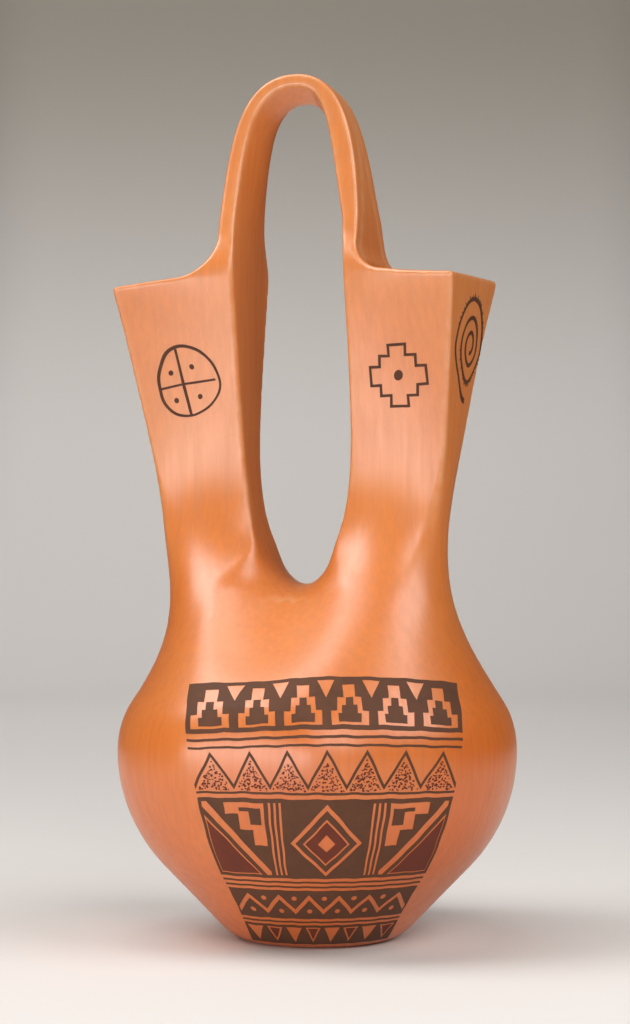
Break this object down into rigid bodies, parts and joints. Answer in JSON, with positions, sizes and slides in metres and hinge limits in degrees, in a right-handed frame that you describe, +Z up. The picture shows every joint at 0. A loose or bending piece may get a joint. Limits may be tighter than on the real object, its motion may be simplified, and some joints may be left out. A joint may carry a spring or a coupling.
{
  "type": "double-spouted pottery jar",
  "caption": "Coil-built earthenware jar: a round body closes in to a pair of flaring squared spouts, joined above the rims by a bowed strap handle; it holds water and pours from either spout.",
  "frame": {"origin": "centre of the flat foot, on the surface the jar stands on", "axes": "+Z up, +X from the left spout to the right spout, -Y towards the painted front"},
  "size_m": [0.178, 0.178, 0.3845],
  "materials": {
    "fired_clay": "stone-burnished orange-tan earthenware, satin",
    "dark_paint": "matte brown-black mineral paint",
    "red_paint": "matte brick-red slip paint"
  },
  "bodies": {
    "root": {"base_pad": "fired_clay", "body_coil_1": "fired_clay", "body_coil_2": "fired_clay", "body_coil_3": "fired_clay", "body_coil_4": "fired_clay", "body_coil_5": "fired_clay", "neck_coil": "fired_clay", "saddle": "fired_clay", "left_spout_coil_1": "fired_clay", "left_spout_coil_2": "fired_clay", "left_spout_coil_3": "fired_clay", "left_spout_coil_4": "fired_clay", "right_spout_coil_1": "fired_clay", "right_spout_coil_2": "fired_clay", "right_spout_coil_3": "fired_clay", "right_spout_coil_4": "fired_clay", "left_rim_coil": "fired_clay", "right_rim_coil": "fired_clay", "handle_strap": "fired_clay"}
  },
  "joints": []
}
